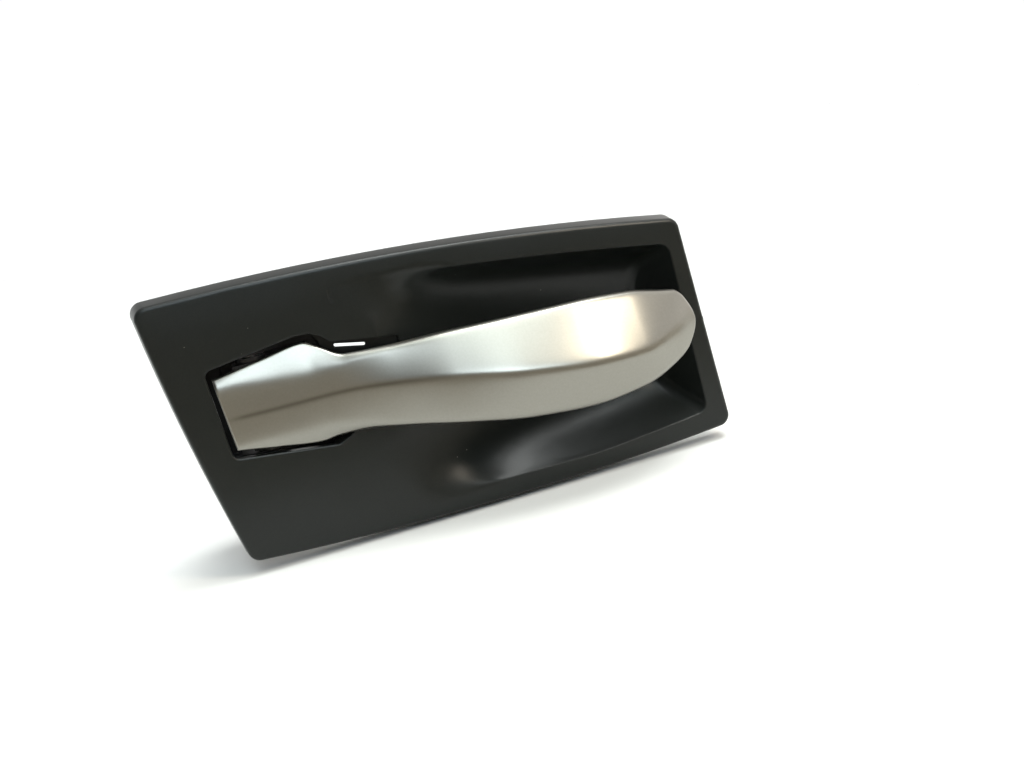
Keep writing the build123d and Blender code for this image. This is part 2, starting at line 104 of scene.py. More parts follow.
def mapped(tree, value, start=0.0, end=1.0, low=0.0, high=1.0):
    """Output that goes from low to high as a value goes from start to end."""
    limits = {"From_Min": start, "From_Max": end, "To_Min": low, "To_Max": high}
    return add_node(tree, "ShaderNodeMapRange", Value=value, **limits).outputs["Result"]


def set_surface(tree, **inputs):
    """Principled surface with these inputs, joined to the material's output."""
    surface = add_node(tree, "ShaderNodeBsdfPrincipled", **inputs)
    add_node(tree, "ShaderNodeOutputMaterial", Surface=surface.outputs["BSDF"])


# White cartridge paper: matt, with a faint tooth. Its grey is what the strong light turns white.
paper, tree = new_material("white_cartridge_paper")
place = add_node(tree, "ShaderNodeTexCoord")
tooth = add_node(tree, "ShaderNodeTexNoise", Vector=place.outputs["Object"], Scale=1 / (1.2 * mm))
rough = mapped(tree, tooth.outputs["Fac"], low=0.85, high=0.95)
set_surface(tree, Base_Color=srgb("DDDDDB"), Roughness=rough, Specular_IOR_Level=0.1)
floor_mesh.materials.append(paper)


# Light. A pale room, dim on the viewer's side, with a window behind the viewer, two skylights, a
# warm lamp high on the right and a low fawn flag that shades the silver's middle.
def mixed(tree, factor, first, second):
    """Colour that goes from the first to the second as a factor goes from 0 to 1."""
    kind = {"data_type": "RGBA"}
    mix = add_node(tree, "ShaderNodeMix", kind, Factor=factor, in6=first, in7=second)
    return mix.outputs[2]


world = bpy.data.worlds.new("pale_room")
bpy.context.scene.world = world
world.use_nodes = True
tree = world.node_tree
tree.nodes.clear()
way = add_node(tree, "ShaderNodeTexCoord")
axes = add_node(tree, "ShaderNodeSeparateXYZ", Vector=way.outputs["Generated"])
behind = mapped(tree, axes.outputs["Y"], start=-0.3, end=0.35, low=0.42, high=1.08)
above = mapped(tree, axes.outputs["Z"], start=0.45, end=0.9, high=0.6)
right = mapped(tree, axes.outputs["X"], start=0.3, end=0.75, high=0.8)
low = mapped(tree, axes.outputs["Z"], start=0.24, end=0.42, low=1.0, high=0.35)
band = add_node(tree, "ShaderNodeMath", {"operation": "MULTIPLY"}, in0=behind, in1=low)
walls = add_node(tree, "ShaderNodeMath", {"operation": "ADD"}, in0=band.outputs["Value"], in1=right)
glow = add_node(tree, "ShaderNodeMath", {"operation": "ADD"}, in0=walls.outputs["Value"], in1=above)
side = mapped(tree, axes.outputs["X"], start=-0.5, end=0.6)
tint = mixed(tree, side, srgb("FAFDFC"), srgb("FFFCF8"))
room = add_node(tree, "ShaderNodeBackground", Color=tint, Strength=glow.outputs["Value"])
paper_white = add_node(tree, "ShaderNodeBackground", Color=srgb("FFFFFF"), Strength=1.02)
ray = add_node(tree, "ShaderNodeLightPath")
sky = add_node(
    tree,
    "ShaderNodeMixShader",
    in0=ray.outputs["Is Camera Ray"],
    in1=room.outputs["Background"],
    in2=paper_white.outputs["Background"],
)
add_node(tree, "ShaderNodeOutputWorld", Surface=sky.outputs["Shader"])

for name, colour, energy, spread, travel in (
    ("window", "E4F4FF", 0.95, 25.0, (0.03, 0.83, -0.555)),
    ("front_skylight", "EAF8F8", 0.7, 26.0, (-0.05, 0.46, -0.887)),
    ("rear_skylight", "F8FCFB", 2.0, 25.0, (-0.24, 0.1, -0.965)),
):
    light = bpy.data.lights.new(name, "SUN")
    light.energy = energy
    light.angle = math.radians(spread)
    light.color = srgb(colour)[:3]
    source = bpy.data.objects.new(name, light)
    source.rotation_euler = Vector(travel).to_track_quat("-Z", "Y").to_euler()
    bpy.context.collection.objects.link(source)

lamp = bpy.data.lights.new("warm_lamp", "AREA")
lamp.shape = "ELLIPSE"
lamp.size = 0.07
lamp.size_y = 0.28
lamp.energy = 1.4
lamp.color = srgb("FFF3DF")[:3]
warm_lamp = bpy.data.objects.new("warm_lamp", lamp)
lamp_place = Vector((0.35, -0.36, 0.363))
lamp_aim = Vector((0.09, -0.02, 0.0))
warm_lamp.location = lamp_place
warm_lamp.rotation_euler = (lamp_aim - lamp_place).to_track_quat("-Z", "Y").to_euler()
warm_lamp.visible_camera = False
bpy.context.collection.objects.link(warm_lamp)

flag_left, flag_right = -0.6, 0.8
flag_front = -0.085
flag_top = 0.022
flag_mesh = bpy.data.meshes.new("flag")
flag_mesh.from_pydata(
    [
        (flag_left, flag_front, floor_level),
        (flag_right, flag_front, floor_level),
        (flag_right, flag_front, flag_top),
        (flag_left, flag_front, flag_top),
    ],
    [],
    [(0, 1, 2, 3)],
)
flag = bpy.data.objects.new("flag", flag_mesh)
flag.visible_camera = False
flag.visible_shadow = False
flag.visible_diffuse = False
bpy.context.collection.objects.link(flag)

# Fawn felt: holds back the light, with a soft nap.
felt, tree = new_material("fawn_felt")
place = add_node(tree, "ShaderNodeTexCoord")
nap = add_node(tree, "ShaderNodeTexNoise", Vector=place.outputs["Object"], Scale=1 / (2.0 * mm))
rough = mapped(tree, nap.outputs["Fac"], low=0.9, high=1.0)
set_surface(tree, Base_Color=srgb("CDC3B4"), Roughness=rough)
flag_mesh.materials.append(felt)

# Camera at the photograph's viewing angle: its place, its right, down and forward directions
# in the frame, and its focal length in the photograph's pixels, which fit the bezel's outline.
camera_place = Vector((0.0022785, -0.2784846, 0.0501879))
camera_right = Vector((0.93972353, -0.27587832, -0.20201690))
camera_down = Vector((-0.25150977, -0.15742589, -0.95496593))
camera_ahead = Vector((0.23165171, 0.94821318, -0.21732290))
focal_pixels, photo_width = 1000, 1024
camera = bpy.data.cameras.new("camera")
camera.sensor_width = 36.0
camera.lens = camera.sensor_width * focal_pixels / photo_width
camera.clip_start = 0.01
viewer = bpy.data.objects.new("camera", camera)
turn = Matrix((camera_right, -camera_down, -camera_ahead)).transposed()
viewer.matrix_world = Matrix.Translation(camera_place) @ turn.to_4x4()
bpy.context.collection.objects.link(viewer)
bpy.context.scene.camera = viewer
bpy.context.scene.view_settings.view_transform = "Standard"

# Bezel. One injection moulding of charcoal ABS, with a finger bowl and a spark-eroded grain, that
# the door panel's screws hold from behind.
weld = 1e-3 * mm


def shade(work, angle):
    """Smooth shading, with the edges past the angle kept sharp."""
    for face in work.faces:
        face.smooth = True
    for edge in work.edges:
        edge.smooth = edge.calc_face_angle(0.0) < math.radians(angle)


def smoothed(name, angle):
    """Merged, smooth-shaded copy of a CAD node that stands for it, sharp past the angle."""
    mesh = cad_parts[name].data.copy()
    shell = bpy.data.objects.new(name + "_shell", mesh)
    bpy.context.collection.objects.link(shell)
    work = bmesh.new()
    work.from_mesh(mesh)
    bmesh.ops.remove_doubles(work, verts=work.verts, dist=weld)
    shade(work, angle)
    work.to_mesh(mesh)
    work.free()
    mesh.materials.clear()
    return shell


def rounded(tree, radius):
    """Normal that rounds off the edges within a radius."""
    return add_node(tree, "ShaderNodeBevel", {"samples": 6}, Radius=radius).outputs["Normal"]


# Charcoal ABS: near black, with a satin grain that breaks up reflections, and stray dust.
charcoal, tree = new_material("grained_charcoal_abs")
place = add_node(tree, "ShaderNodeTexCoord")
grain = add_node(
    tree, "ShaderNodeTexNoise", Vector=place.outputs["Object"], Scale=1 / (0.45 * mm), Detail=3.0
)
cloud = add_node(
    tree, "ShaderNodeTexNoise", Vector=place.outputs["Object"], Scale=1 / (22 * mm), Detail=2.0
)
rough = mapped(tree, cloud.outputs["Fac"], low=0.29, high=0.35)
dust = add_node(tree, "ShaderNodeTexVoronoi", Vector=place.outputs["Object"], Scale=1 / (5.5 * mm))
speck = mapped(tree, dust.outputs["Distance"], start=0.02, end=0.035, low=1.0, high=0.0)
tone = mapped(tree, grain.outputs["Fac"], start=0.3, end=0.7)
base = mixed(tree, tone, srgb("0D100E"), srgb("121513"))
colour = mixed(tree, speck, base, srgb("6A6A62"))
lip = rounded(tree, 0.8 * mm)
bump = add_node(
    tree,
    "ShaderNodeBump",
    Strength=0.35,
    Distance=0.03 * mm,
    Height=grain.outputs["Fac"],
    Normal=lip,
)
set_surface(
    tree,
    Base_Color=colour,
    Roughness=rough,
    Normal=bump.outputs["Normal"],
    Specular_IOR_Level=0.33,
)

bezel_angle = 22
bezel = smoothed("bezel", bezel_angle)

# The bowl's shallow end runs out softly into the face: each point of the front there goes to the
# mean depth of the front round it, within a reach that fades away from that end.
soft_left, soft_right = 20.0, 60.0
soft_bottom, soft_top = -42.5, 29.5
lever_bottom, lever_top = -17.0, 14.0
soft_reach = 4.5
least_reach = 0.05
fade_left, fade_right, fade_beside = 4, 18, 4
soft_edge = 1.6 * mm
cut_rounds = 6
facing_out = -0.2
ray_start = -0.03
rays = 40
golden_turn = math.pi * (3 - math.sqrt(5))


def share(value, start, end):
    """How far a value lies from start to end, from 0 to 1."""
    return min(1.0, max(0.0, (value - start) / (end - start)))


def reach_at(x, z):
    """Reach of the softening at a point of the front, in millimetres."""
    from_left = share(x, soft_left, soft_left + fade_left)
    from_right = share(x, soft_right, soft_right - fade_right)
    above = share(z, lever_top, lever_top + fade_beside)
    below = share(z, lever_bottom, lever_bottom - fade_beside)
    reach = soft_reach * (from_left * from_right) * (above + below)
    return min(reach, max(0.0, soft_top - z), max(0.0, z - soft_bottom))


def in_soft_end(face):
    """Whether a face of the front crosses the softened end."""
    spans = [sorted(vert.co[axis] / mm for vert in face.verts) for axis in (0, 2)]
    return (
        face.normal.y < facing_out
        and spans[0][0] < soft_right
        and spans[0][-1] > soft_left
        and spans[1][0] < soft_top
        and spans[1][-1] > soft_bottom
    )


work = bmesh.new()
work.from_mesh(bezel.data)
for _ in range(cut_rounds):
    crossing = {face.index for face in work.faces if in_soft_end(face)}
    long_edges = [
        edge
        for edge in work.edges
        if edge.calc_length() > soft_edge
        and any(face.index in crossing for face in edge.link_faces)
    ]
    bmesh.ops.subdivide_edges(work, edges=long_edges, cuts=1)
    many_sided = [face for face in work.faces if len(face.verts) > 3]
    bmesh.ops.triangulate(work, faces=many_sided, ngon_method="EAR_CLIP")
    bmesh.ops.dissolve_degenerate(work, dist=weld, edges=work.edges)
    work.faces.index_update()
front = BVHTree.FromBMesh(work)
depths = {}
for vert in work.verts:
    reach = reach_at(vert.co.x / mm, vert.co.z / mm) * mm
    if reach > least_reach * mm and all(face.normal.y < facing_out for face in vert.link_faces):
        hits = []
        for k in range(rays):
            radius = reach * math.sqrt((k + 0.5) / rays)
            turn = k * golden_turn
            x, z = vert.co.x + radius * math.cos(turn), vert.co.z + radius * math.sin(turn)
            hits.append(front.ray_cast((x, ray_start, z), (0, 1, 0))[0].y)
        depths[vert] = sum(hits) / len(hits)
for vert, depth in depths.items():
    vert.co.y = depth
work.normal_update()
shade(work, bezel_angle)
work.to_mesh(bezel.data)
work.free()
bezel.data.materials.append(charcoal)
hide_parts("bezel")
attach(bezel, "housing")

# Carrier. One moulding of black glass-filled nylon, screwed to the bezel's back, with the ears for
# the hinge pin, the two stop posts and the seat for the release cable's sleeve.
# Glass-filled nylon: black, half matt, with pale streaks where the fibres lie at the surface.
nylon, tree = new_material("black_glass_filled_nylon")
place = add_node(tree, "ShaderNodeTexCoord")
flow = add_node(
    tree,
    "ShaderNodeMapping",
    Vector=place.outputs["Object"],
    Rotation=(0.2, 0.5, 0.3),
    Scale=(1.0, 4.0, 9.0),
)
fibre = add_node(
    tree,
    "ShaderNodeTexNoise",
    Vector=flow.outputs["Vector"],
    Scale=1 / (3.0 * mm),
    Detail=5.0,
    Roughness=0.65,
)
streak = mapped(tree, fibre.outputs["Fac"], start=0.52, end=0.75)
colour = mixed(tree, streak, srgb("0E0E0F"), srgb("25262A"))
rough = mapped(tree, fibre.outputs["Fac"], low=0.38, high=0.62)
edge = rounded(tree, 0.35 * mm)
bump = add_node(
    tree,
    "ShaderNodeBump",
    Strength=0.3,
    Distance=0.04 * mm,
    Height=fibre.outputs["Fac"],
    Normal=edge,
)
set_surface(tree, Base_Color=colour, Roughness=rough, Normal=bump.outputs["Normal"])

carrier = smoothed("carrier", angle=25)
carrier.data.materials.append(nylon)
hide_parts("carrier")
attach(carrier, "housing")

# Buffers. Two rubber buttons whose stems are pushed into the carrier's stop posts, one that the
# lever's crank rests on and one that it meets at the end of the pull.
# EPDM rubber: dull black, with a grey bloom in patches and a fine moulded skin.
rubber, tree = new_material("moulded_epdm_rubber")
place = add_node(tree, "ShaderNodeTexCoord")
bloom = add_node(
    tree, "ShaderNodeTexNoise", Vector=place.outputs["Object"], Scale=1 / (1.8 * mm), Detail=4.0
)
skin = add_node(tree, "ShaderNodeTexVoronoi", Vector=place.outputs["Object"], Scale=1 / (0.18 * mm))
haze = mapped(tree, bloom.outputs["Fac"], start=0.4, end=0.7)
colour = mixed(tree, haze, srgb("0B0B0B"), srgb("1C1C1D"))
rough = mapped(tree, bloom.outputs["Fac"], low=0.72, high=0.9)
edge = rounded(tree, 0.4 * mm)
bump = add_node(
    tree,
    "ShaderNodeBump",
    Strength=0.25,
    Distance=0.03 * mm,
    Height=skin.outputs["Distance"],
    Normal=edge,
)
set_surface(tree, Base_Color=colour, Roughness=rough, Normal=bump.outputs["Normal"])

for name in ("rest_buffer", "open_buffer"):
    buffer = smoothed(name, angle=30)
    buffer.data.materials.append(rubber)
    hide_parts(name)
    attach(buffer, "housing")

# Lever. One casting, painted satin silver: a root that fills the bezel's opening, a neck and a
# blade with a soft crest along it, and behind the root two hubs and the crank for the cable.
face_y = -8.0
# Along x, in millimetres: station, then (stand-off from the bezel's face, z) of the crest, the
# upper ridge, the top edge, the lower ridge and the bottom edge, the edges' thickness and the
# back's swell.
lever_rows = [
    (-22.0, 0.4, -1.6, 0.2, 7.4, -1.1, 8.4, 0.2, -8.0, 0.0, -9.2, 1.4, 0.0),
    (-10.9, 0.5, -1.5, 0.3, 8.0, -1.1, 9.8, 0.3, -9.0, 0.0, -10.3, 1.4, 0.0),
    (2.0, 1.3, -1.4, 1.0, 6.6, -1.2, 12.0, 0.9, -10.3, 0.0, -12.2, 1.3, 0.0),
    (14.0, 2.4, -1.1, 2.0, 5.7, -1.2, 13.9, 1.6, -10.6, 0.0, -13.8, 1.3, 0.0),
    (18.0, 3.0, -1.0, 2.5, 6.2, -0.2, 11.9, 2.3, -11.0, 0.7, -13.2, 1.5, 0.3),
    (24.0, 4.6, -0.9, 3.3, 6.9, 2.0, 8.7, 3.6, -11.8, 2.2, -13.0, 1.4, 1.0),
    (36.0, 8.4, -1.5, 5.1, 7.6, 4.0, 8.4, 6.8, -13.5, 5.7, -14.3, 1.6, 2.4),
    (52.0, 14.0, -2.9, 7.8, 8.1, 6.7, 8.8, 12.0, -16.0, 10.9, -16.8, 1.7, 3.4),
    (70.0, 18.5, -5.6, 10.0, 8.0, 9.0, 8.7, 15.0, -18.7, 13.9, -19.5, 1.6, 4.0),
    (88.0, 20.0, -7.8, 10.8, 7.9, 9.8, 8.6, 15.5, -19.9, 14.4, -20.7, 1.6, 4.0),
    (104.0, 18.0, -8.6, 9.9, 6.9, 8.9, 7.6, 14.0, -18.6, 12.9, -19.4, 1.6, 3.6),
    (116.0, 13.5, -7.0, 8.2, 4.4, 7.2, 5.1, 11.2, -15.4, 10.2, -16.1, 1.6, 2.6),
    (127.0, 7.0, -5.6, 5.0, 1.8, 4.0, 2.5, 6.2, -12.3, 5.2, -13.0, 1.6, 1.6),
]
# The tip's outline and the root's left end, as (z, x) from the bottom up.
tip_z, tip_x = -5.0, 124.5
tip_line = [
    (-24.0, 90.0),
    (-18.8, 108.0),
    (-12.0, 120.8),
    (tip_z, tip_x),
    (1.6, 122.2),
    (9.0, 114.0),
]
root_x = -10.9
end_line = [(-10.2, -9.2), (10.2, root_x)]
end_fade = 12.0
edge_round = 0.7
crease, crease_width = 0.05, 0.6
crease_start, crease_end = (-10.5, -5.0), (62.0, 34.0)
# How softly the crest and the two ridges are rounded, along x.
soft_rows = [
    (-22.0, 0.9, 2.2, 2.0),
    (10.0, 0.9, 2.2, 2.0),
    (34.0, 1.0, 0.5, 0.7),
    (100.0, 1.3, 0.5, 0.7),
    (127.0, 6.0, 1.0, 1.5),
]


def eased(rows, x):
    """Values at x on smooth curves through the rows, which never overshoot them."""
    last = len(rows) - 2
    k = min(sum(1 for row in rows[1:] if row[0] <= x), last)
    gaps = [after[0] - before[0] for before, after in zip(rows, rows[1:])]
    t = (x - rows[k][0]) / gaps[k]
    values = []
    for column in range(1, len(rows[0])):
        rates = [(b[column] - a[column]) / gap for a, b, gap in zip(rows, rows[1:], gaps)]

        def slope(i):
            if i == 0 or i > last:
                return rates[min(i, last)]
            before, after = rates[i - 1], rates[i]
            return 2 * before * after / (before + after) if before * after > 0 else 0.0

        start, end = rows[k][column], rows[k + 1][column]
        values.append(
            start * (1 + 2 * t) * (1 - t) ** 2
            + end * t**2 * (3 - 2 * t)
            + gaps[k] * (slope(k) * t * (1 - t) ** 2 - slope(k + 1) * t**2 * (1 - t))
        )
    return values


def tip_height(x, inside, outside):
    """Height, between one inside the tip's outline and one outside it, where it passes x."""
    for _ in range(halvings):
        middle = (inside + outside) / 2
        if eased(tip_line, middle)[0] > x:
            inside = middle
        else:
            outside = middle
    return inside


def edge_heights(x):
    """Bottom and top of the lever at x, within the tip's outline."""
    row = eased(lever_rows, x)
    top, bottom = row[5], row[9]
    (low_z, low_x), (high_z, high_x) = tip_line[0], tip_line[-1]
    if x > high_x:
        top = min(top, tip_height(x, tip_z, high_z))
    if x > low_x:
        bottom = max(bottom, tip_height(x, tip_z, low_z))
    return bottom, top


def folded(x, z):
    """Share of the crease at a point of the front: all on its line, none well away from it."""
    off = (z - eased(lever_rows, x)[1]) / crease_width
    return share(x, *crease_start) * share(x, *crease_end) * math.exp(-(off**2))


def front_and_back(x, z):
    """y of the lever's front and of its back."""
    row = eased(lever_rows, x)
    soft = eased(soft_rows, x)
    top, top_z, bottom, bottom_z, edge, swell = row[4], row[5], *row[8:]
    corners = [(top, top_z), row[2:4], row[0:2], row[6:8], (bottom, bottom_z)]
    rates = [(a[0] - b[0]) / (a[1] - b[1]) for a, b in zip(corners, corners[1:])]
    stand = top + rates[0] * (z - top_z)
    for k, width in ((1, soft[1]), (2, soft[0]), (3, soft[2])):
        past = corners[k][1] - z
        stand -= (rates[k] - rates[k - 1]) * (past + math.hypot(past, width)) / 2
    stand -= crease * folded(x, z)
    rear_top = face_y - top + edge
    rear_bottom = face_y - bottom + edge
    t = (z - bottom_z) / (top_z - bottom_z)
    rear = rear_bottom + t * (rear_top - rear_bottom) + 4 * swell * t * (1 - t)
    return face_y - stand, rear


def spaced(start, end, part):
    """Point at a part of the way from start to end, in steps that are finer near both ends."""
    return start + (end - start) * (1 - math.cos(math.pi * part)) / 2


along, across = 190, 120
halvings = 40
tip_gap = 0.002
nudge = 0.01
grid_weld = 0.004 * mm
(low_z, low_x), (high_z, high_x) = end_line
work = bmesh.new()
# Each point of the front keeps its share of the crease, where the silver paint is darkened into a
# line of painted shade.
fold = work.verts.layers.float.new("crease")
grids = ([], [])
for i in range(along + 1):
    x_mid = spaced(root_x, tip_x - tip_gap, i / along)
    bottom_z, top_z = edge_heights(x_mid)
    before = edge_heights(x_mid - nudge)
    after = edge_heights(min(x_mid + nudge, tip_x - tip_gap / 2))
    slopes = [(b - a) / (2 * nudge) for a, b in zip(before, after)]
    lines = ([], [])
    for j in range(across + 1):
        z = spaced(bottom_z, top_z, j / across)
        end_x = low_x + (z - low_z) / (high_z - low_z) * (high_x - low_x)
        x = x_mid + (end_x - root_x) * max(0.0, 1 - (x_mid - root_x) / end_fade)
        depth = min(
            (z - bottom_z) / math.hypot(1, slopes[0]),
            (top_z - z) / math.hypot(1, slopes[1]),
            x - end_x,
        )
        front, back = front_and_back(x, z)
        turned = min(edge_round, (back - front) / 2)
        inside = max(0.0, turned - depth)
        draw = turned - math.sqrt(max(0.0, turned**2 - inside**2))
        lines[0].append(work.verts.new((x * mm, (front + draw) * mm, z * mm)))
        lines[0][-1][fold] = folded(x, z)
        lines[1].append(work.verts.new((x * mm, (back - draw) * mm, z * mm)))
    grids[0].append(lines[0])
    grids[1].append(lines[1])
for i in range(along):
    for j in range(across):
        a, b = grids[0][i], grids[0][i + 1]
        work.faces.new((a[j], b[j], b[j + 1], a[j + 1]))
        a, b = grids[1][i], grids[1][i + 1]
        work.faces.new((a[j], a[j + 1], b[j + 1], b[j]))
    for j in (0, across):
        a, b = (grids[0], grids[1]) if j else (grids[1], grids[0])
        work.faces.new((a[i][j], a[i + 1][j], b[i + 1][j], b[i][j]))
for j in range(across):
    work.faces.new((grids[0][0][j], grids[0][0][j + 1], grids[1][0][j + 1], grids[1][0][j]))
    work.faces.new((grids[0][-1][j + 1], grids[0][-1][j], grids[1][-1][j], grids[1][-1][j + 1]))
bmesh.ops.remove_doubles(work, verts=work.verts, dist=grid_weld)
bmesh.ops.recalc_face_normals(work, faces=work.faces)

# Hubs and crank, as the frame has them behind the root, run on a little into it. The spray doesn't
# reach them.
hub_start = -5.4 * mm
hub_sunk = 0.8 * mm
hubs = bmesh.new()
hubs.from_mesh(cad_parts["lever"].data)
bmesh.ops.remove_doubles(hubs, verts=hubs.verts, dist=weld)
bmesh.ops.bisect_plane(
    hubs,
    geom=hubs.verts[:] + hubs.edges[:] + hubs.faces[:],
    dist=weld,
    plane_co=(0, hub_start, 0),
    plane_no=(0, -1, 0),
    clear_outer=True,
)
rims = [edge for edge in hubs.edges if edge.is_boundary]
for vert in {vert for edge in rims for vert in edge.verts}:
    vert.co.y -= hub_sunk
bmesh.ops.holes_fill(hubs, edges=rims, sides=0)
bmesh.ops.recalc_face_normals(hubs, faces=hubs.faces)
for face in hubs.faces:
    face.material_index = 1
hub_mesh = bpy.data.meshes.new("hubs")
hubs.to_mesh(hub_mesh)
hubs.free()
work.from_mesh(hub_mesh)
bpy.data.meshes.remove(hub_mesh)
shade(work, angle=35)
lever_mesh = bpy.data.meshes.new("lever_casting")
work.to_mesh(lever_mesh)
work.free()
lever = bpy.data.objects.new("lever_casting", lever_mesh)
bpy.context.collection.objects.link(lever)

# Silver paint over the casting: aluminium flake in a satin lacquer, which glitters faintly, with
# a line of painted shade darkening the crease. The flakes are drawn far coarser than real ones.
silver, tree = new_material("satin_silver_paint")
place = add_node(tree, "ShaderNodeTexCoord")
flake = add_node(
    tree, "ShaderNodeTexVoronoi", Vector=place.outputs["Object"], Scale=1 / (0.22 * mm)
)
mottle = add_node(
    tree, "ShaderNodeTexNoise", Vector=place.outputs["Object"], Scale=1 / (0.6 * mm), Detail=3.0
)
glint = add_node(tree, "ShaderNodeSeparateColor", Color=flake.outputs["Color"])
rough = mapped(tree, glint.outputs["Red"], low=0.28, high=0.31)
tone = mapped(tree, mottle.outputs["Fac"], start=0.3, end=0.7)
colour = mixed(tree, tone, srgb("8E8C85"), srgb("929089"))
# The crease's share darkens the paint: a painted shade line along the crease.
line = add_node(tree, "ShaderNodeAttribute", {"attribute_name": "crease"})
painted_crease_shade = mixed(tree, line.outputs["Fac"], colour, srgb("706D66"))
bump = add_node(
    tree, "ShaderNodeBump", Strength=0.03, Distance=0.01 * mm, Height=glint.outputs["Green"]
)
set_surface(tree, Base_Color=painted_crease_shade, Metallic=1.0, Roughness=rough, Normal=bump.outputs["Normal"])
lever_mesh.materials.append(silver)

# Dip coat under the paint, bare on the hubs and crank: black and half matt, with an orange-peel
# skin.
dip_coat, tree = new_material("black_dip_coat")
place = add_node(tree, "ShaderNodeTexCoord")
peel = add_node(
    tree, "ShaderNodeTexNoise", Vector=place.outputs["Object"], Scale=1 / (0.7 * mm), Detail=2.0
)
tone = mapped(tree, peel.outputs["Fac"], start=0.3, end=0.7)
colour = mixed(tree, tone, srgb("0C0C0C"), srgb("151515"))
rough = mapped(tree, peel.outputs["Fac"], low=0.55, high=0.7)
bump = add_node(
    tree, "ShaderNodeBump", Strength=0.2, Distance=0.03 * mm, Height=peel.outputs["Fac"]
)
set_surface(
    tree,
    Base_Color=colour,
    Roughness=rough,
    Specular_IOR_Level=0.2,
    Normal=bump.outputs["Normal"],
)
lever_mesh.materials.append(dip_coat)
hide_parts("lever")
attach(lever, "lever")

# Bushes. Two flanged acetal bushes, pressed into the ends of the lever's hubs, that turn on the
# hinge pin with the lever.
# Black acetal: waxy and dark, with a soft shine and faint flow marks.
acetal, tree = new_material("black_acetal")
place = add_node(tree, "ShaderNodeTexCoord")
flow = add_node(
    tree, "ShaderNodeTexNoise", Vector=place.outputs["Object"], Scale=1 / (2.5 * mm), Detail=3.0
)
colour = mixed(tree, flow.outputs["Fac"], srgb("0D0D0D"), srgb("1A1A1B"))
rough = mapped(tree, flow.outputs["Fac"], low=0.25, high=0.4)
edge = rounded(tree, 0.2 * mm)
set_surface(tree, Base_Color=colour, Roughness=rough, Normal=edge)

for name in ("upper_bush", "lower_bush"):
    bush = smoothed(name, angle=30)
    bush.data.materials.append(acetal)
    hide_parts(name)
    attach(bush, "lever")

# Return spring. A torsion spring of drawn steel wire, wound round the hinge pin between the hubs,
# with its lower leg on the lever and its upper one on the carrier, so the coil winds up as the
# lever opens.
wire_r, wire_sides = 0.5, 12
coil_r = 3.7
coil_turns = 6.5
coil_height = 8.45
leg_reach = 9.0
leg_drop = 0.503
hinge_y = -1.0
wire_points = [(coil_r, -leg_reach, -leg_drop)]
steps_per_turn = 28
coil_steps = round(coil_turns * steps_per_turn)
for step in range(coil_steps + 1):
    angle = 2 * math.pi * step / steps_per_turn
    rise = coil_height * step / coil_steps
    wire_points.append((coil_r * math.cos(angle), coil_r * math.sin(angle), rise))
wire_points.append((-coil_r, -leg_reach, coil_height + leg_drop))
path_mesh = bpy.data.meshes.new("spring_path")
path_mesh.from_pydata(
    [(y * mm, (hinge_y - x) * mm, (z - coil_height / 2) * mm) for x, y, z in wire_points],
    [(k, k + 1) for k in range(len(wire_points) - 1)],
    [],
)
path = bpy.data.objects.new("spring_path", path_mesh)
bpy.context.collection.objects.link(path)

# Drawn spring wire: grey steel with a dull shine and fine drawing marks.
wire, tree = new_material("drawn_spring_steel")
place = add_node(tree, "ShaderNodeTexCoord")
marks = add_node(
    tree, "ShaderNodeTexNoise", Vector=place.outputs["Object"], Scale=1 / (0.25 * mm), Detail=3.0
)
colour = mixed(tree, marks.outputs["Fac"], srgb("77777A"), srgb("98989C"))
rough = mapped(tree, marks.outputs["Fac"], low=0.25, high=0.45)
set_surface(tree, Base_Color=colour, Metallic=1.0, Roughness=rough)

tree = bpy.data.node_groups.new("wire_along_path", "GeometryNodeTree")
sockets = {}
for name, kind in (
    ("Path", "Geometry"),
    ("Wire radius", "Float"),
    ("Sides", "Int"),
    ("Finish", "Material"),
):
    sockets[name] = tree.interface.new_socket(name, in_out="INPUT", socket_type="NodeSocket" + kind)
tree.interface.new_socket("Wire", in_out="OUTPUT", socket_type="NodeSocketGeometry")
given = add_node(tree, "NodeGroupInput")
line = add_node(tree, "GeometryNodeMeshToCurve", Mesh=given.outputs["Path"])
ring = add_node(
    tree,
    "GeometryNodeCurvePrimitiveCircle",
    Resolution=given.outputs["Sides"],
    Radius=given.outputs["Wire radius"],
)
swept = add_node(
    tree,
    "GeometryNodeCurveToMesh",
    Curve=line.outputs["Curve"],
    Profile_Curve=ring.outputs["Curve"],
    Fill_Caps=True,
)
whole = add_node(tree, "GeometryNodeRealizeInstances", Geometry=swept.outputs["Mesh"])
finished = add_node(
    tree,
    "GeometryNodeSetMaterial",
    Geometry=whole.outputs["Geometry"],
    Material=given.outputs["Finish"],
)
add_node(tree, "NodeGroupOutput", Wire=finished.outputs["Geometry"])


def grown(name, seed_object, tree, sockets, **values):
    """Plain mesh object of what a geometry tree makes of an object, which is then removed."""
    modifier = seed_object.modifiers.new(name, "NODES")
    modifier.node_group = tree
    for key, value in values.items():
        modifier[sockets[key.replace("_", " ")].identifier] = value
    ready = seed_object.evaluated_get(bpy.context.evaluated_depsgraph_get())
    mesh = bpy.data.meshes.new_from_object(ready)
    seed_object.modifiers.remove(modifier)
    bpy.data.objects.remove(seed_object)
    piece = bpy.data.objects.new(name, mesh)
    bpy.context.collection.objects.link(piece)
    return piece


spring = grown(
    "spring_wire", path, tree, sockets, Wire_radius=wire_r * mm, Sides=wire_sides, Finish=wire
)
for polygon in spring.data.polygons:
    polygon.use_smooth = len(polygon.vertices) == 4
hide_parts("return_spring")
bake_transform(spring)

